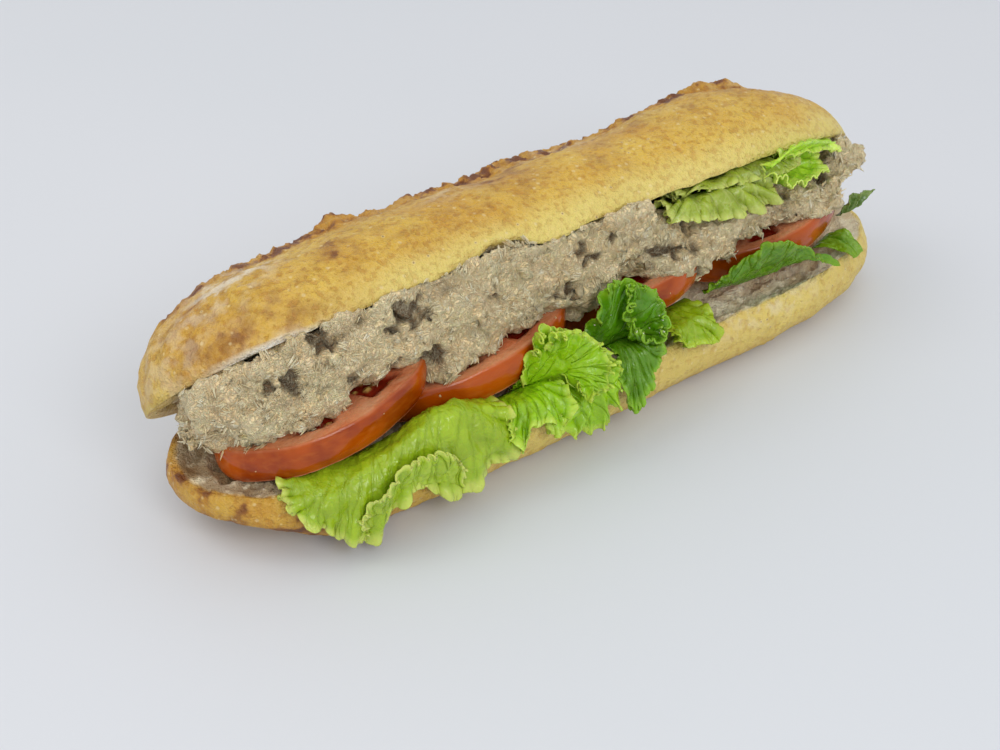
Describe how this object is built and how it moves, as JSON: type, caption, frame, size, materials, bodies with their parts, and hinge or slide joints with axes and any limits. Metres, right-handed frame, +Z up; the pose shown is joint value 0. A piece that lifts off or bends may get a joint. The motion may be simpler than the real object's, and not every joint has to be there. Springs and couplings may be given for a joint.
{
  "type": "filled baguette sandwich",
  "caption": "Long crusty baguette slit along its front, filled with tuna mash, thick tomato slices and frilly lettuce leaves.",
  "frame": {"origin": "on the floor, under the middle of the loaf's flat underside", "axes": "+X along the loaf to its far end, -Y out of the open front, +Z up"},
  "size_m": [0.2472, 0.0749, 0.0687],
  "materials": {
    "bread": "baked crust with flour, and a porous cream crumb on the cut",
    "tuna": "moist fibrous fish mash",
    "tomato": "wet flesh and glossy skin",
    "lettuce": "thin waxy leaf"
  },
  "bodies": {
    "root": {"loaf": "bread", "tuna": "tuna", "tomato_slice_1": "tomato", "tomato_slice_2": "tomato", "tomato_slice_3": "tomato", "tomato_slice_4": "tomato", "lettuce_near": "lettuce", "lettuce_frill": "lettuce", "lettuce_dark": "lettuce", "lettuce_light": "lettuce", "lettuce_folded": "lettuce", "lettuce_end_low": "lettuce", "lettuce_end_high": "lettuce", "lettuce_tucked": "lettuce", "lettuce_bright": "lettuce"}
  },
  "joints": []
}
